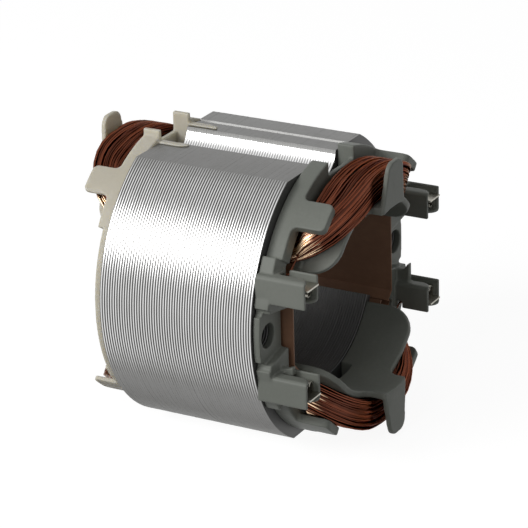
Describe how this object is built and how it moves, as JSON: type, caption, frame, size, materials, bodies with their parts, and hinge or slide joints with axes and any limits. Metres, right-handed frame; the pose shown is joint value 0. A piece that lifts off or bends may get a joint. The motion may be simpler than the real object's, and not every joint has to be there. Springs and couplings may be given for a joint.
{
  "type": "motor stator",
  "caption": "Field stator of a small universal motor: laminated steel stack with plastic end frames, copper saddle coils round the poles and push-on terminal sockets.",
  "frame": {"origin": "on the armature bore's axis, half way along the lamination stack", "axes": "+X along the bore towards the frame with the terminal sockets, +Z through the middle of the upper pole, +Y across the pole gaps"},
  "size_m": [0.0578, 0.055, 0.0524],
  "materials": {
    "laminated_steel": "brushed",
    "grey_plastic": "matte",
    "ivory_plastic": "satin",
    "enamelled_wire": "gloss",
    "slot_paper": "matte",
    "tinned_brass": "satin"
  },
  "bodies": {
    "root": {"stator_core": "laminated_steel", "front_frame": "grey_plastic", "rear_frame": "ivory_plastic", "upper_coil": "enamelled_wire", "lower_coil": "enamelled_wire", "liner_upper_near": "slot_paper", "liner_upper_far": "slot_paper", "liner_lower_near": "slot_paper", "liner_lower_far": "slot_paper", "strip_near": "slot_paper", "strip_far": "slot_paper", "terminal_upper_near": "tinned_brass", "terminal_upper_far": "tinned_brass", "terminal_lower_near": "tinned_brass", "terminal_lower_far": "tinned_brass"}
  },
  "joints": []
}
